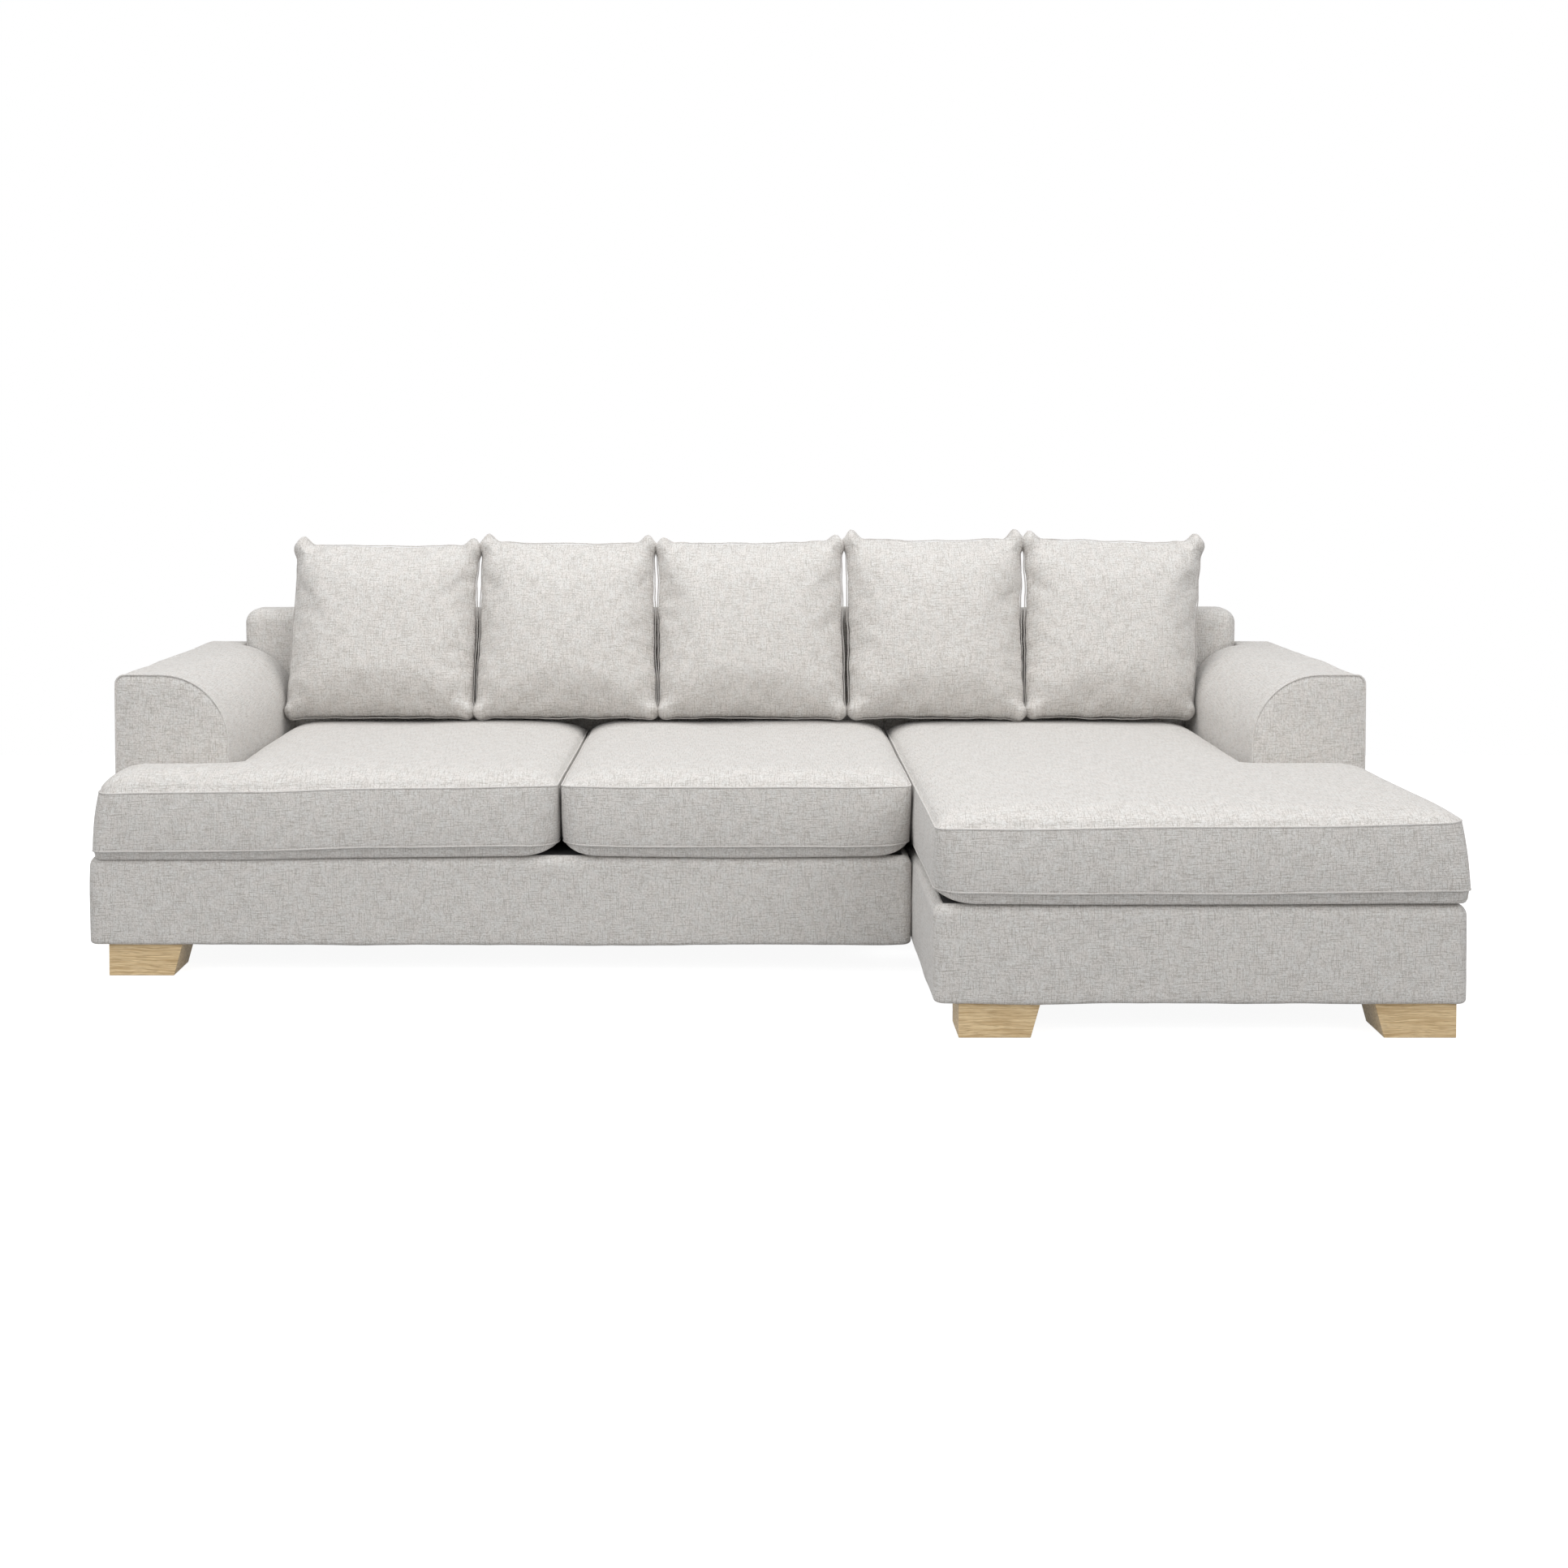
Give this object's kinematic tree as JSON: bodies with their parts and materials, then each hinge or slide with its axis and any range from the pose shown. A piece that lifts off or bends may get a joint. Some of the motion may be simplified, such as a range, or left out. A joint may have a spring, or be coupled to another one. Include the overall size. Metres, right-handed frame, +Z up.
{
  "type": "sectional sofa with chaise",
  "caption": "L-shaped sofa of a seat module and a chaise module joined side by side, with loose zipped seat cushions, knife-edge back cushions and block feet.",
  "frame": {"origin": "on the floor, under the middle of the overall box", "axes": "+X to the right as you face the seat, along the longest side; +Y to the rear; +Z up"},
  "size_m": [2.8118, 1.552, 0.9151],
  "materials": {
    "upholstery": "linen-look plain weave, light warm grey",
    "piping": "welt cord in the same cloth",
    "foam": "upholstery foam",
    "filling": "fibre filling",
    "deck_lining": "black deck cloth",
    "dust_cloth": "black non-woven cloth",
    "timber": "rough-sawn pine and plywood",
    "oak": "natural oak, matt oil",
    "black_plastic": "moulded black plastic",
    "felt": "felt pad",
    "webbing": "woven elastic strap",
    "steel": "zinc-plated steel",
    "zip_tape": "zip tape and nylon coil",
    "zip_metal": "painted zip slider"
  },
  "bodies": {
    "sofa": {"arm_left_cover": "upholstery", "arm_left_foam": "foam", "arm_left_frame": "timber", "arm_left_front_panel": "upholstery", "arm_left_piping": "piping", "arm_right_cover": "upholstery", "arm_right_foam": "foam", "arm_right_frame": "timber", "arm_right_front_panel": "upholstery", "arm_right_piping": "piping", "back_chaise_cover": "upholstery", "back_chaise_frame": "timber", "back_sofa_cover": "upholstery", "back_sofa_frame": "timber", "back_webbing": "webbing", "chaise_border": "upholstery", "chaise_cross_rails": "timber", "chaise_deck": "deck_lining", "chaise_long_rails": "timber", "connector_receivers": "steel", "connector_screws": "steel", "connector_tongues": "steel", "dust_covers": "dust_cloth", "foot_blocks": "timber", "foot_bolts": "steel", "foot_glides": "felt", "frame_bolts": "steel", "oak_feet": "oak", "seat_springs": "steel", "sofa_border": "upholstery", "sofa_cross_rails": "timber", "sofa_deck": "deck_lining", "sofa_long_rails": "timber", "spring_clips": "steel", "support_legs": "black_plastic"},
    "seat_cushion_left": {"seat_left_cover": "upholstery", "seat_left_foam": "foam", "seat_left_piping": "piping", "seat_left_zip": "zip_tape"},
    "seat_cushion_middle": {"seat_middle_cover": "upholstery", "seat_middle_foam": "foam", "seat_middle_piping": "piping", "seat_middle_zip": "zip_tape"},
    "seat_cushion_chaise": {"seat_chaise_cover": "upholstery", "seat_chaise_foam": "foam", "seat_chaise_piping": "piping", "seat_chaise_zip": "zip_tape"},
    "zip_slider_left": {"seat_left_zip_slider": "zip_metal"},
    "zip_slider_middle": {"seat_middle_zip_slider": "zip_metal"},
    "zip_slider_chaise": {"seat_chaise_zip_slider": "zip_metal"},
    "back_cushion_1": {"back_cushion_1_cover": "upholstery", "back_cushion_1_filling": "filling"},
    "back_cushion_2": {"back_cushion_2_cover": "upholstery", "back_cushion_2_filling": "filling"},
    "back_cushion_3": {"back_cushion_3_cover": "upholstery", "back_cushion_3_filling": "filling"},
    "back_cushion_4": {"back_cushion_4_cover": "upholstery", "back_cushion_4_filling": "filling"},
    "back_cushion_5": {"back_cushion_5_cover": "upholstery", "back_cushion_5_filling": "filling"}
  },
  "joints": [
    {"name": "seat_cushion_left_slide", "type": "slide", "parent": "sofa", "child": "seat_cushion_left", "axis": [0, -1, 0], "range_m": [0, 0.3]},
    {"name": "seat_cushion_middle_slide", "type": "slide", "parent": "sofa", "child": "seat_cushion_middle", "axis": [0, -1, 0], "range_m": [0, 0.3]},
    {"name": "seat_cushion_chaise_slide", "type": "slide", "parent": "sofa", "child": "seat_cushion_chaise", "axis": [0, -1, 0], "range_m": [0, 0.3]},
    {"name": "zip_left_slide", "type": "slide", "parent": "seat_cushion_left", "child": "zip_slider_left", "axis": [1, 0, 0], "range_m": [0, 0.48]},
    {"name": "zip_middle_slide", "type": "slide", "parent": "seat_cushion_middle", "child": "zip_slider_middle", "axis": [1, 0, 0], "range_m": [0, 0.48]},
    {"name": "zip_chaise_slide", "type": "slide", "parent": "seat_cushion_chaise", "child": "zip_slider_chaise", "axis": [1, 0, 0], "range_m": [0, 0.48]},
    {"name": "back_cushion_1_lift", "type": "slide", "parent": "sofa", "child": "back_cushion_1", "axis": [0, 0.2419, 0.9703], "range_m": [0, 0.3]},
    {"name": "back_cushion_2_lift", "type": "slide", "parent": "sofa", "child": "back_cushion_2", "axis": [0, 0.2419, 0.9703], "range_m": [0, 0.3]},
    {"name": "back_cushion_3_lift", "type": "slide", "parent": "sofa", "child": "back_cushion_3", "axis": [0, 0.2419, 0.9703], "range_m": [0, 0.3]},
    {"name": "back_cushion_4_lift", "type": "slide", "parent": "sofa", "child": "back_cushion_4", "axis": [0, 0.2419, 0.9703], "range_m": [0, 0.3]},
    {"name": "back_cushion_5_lift", "type": "slide", "parent": "sofa", "child": "back_cushion_5", "axis": [0, 0.2419, 0.9703], "range_m": [0, 0.3]}
  ]
}
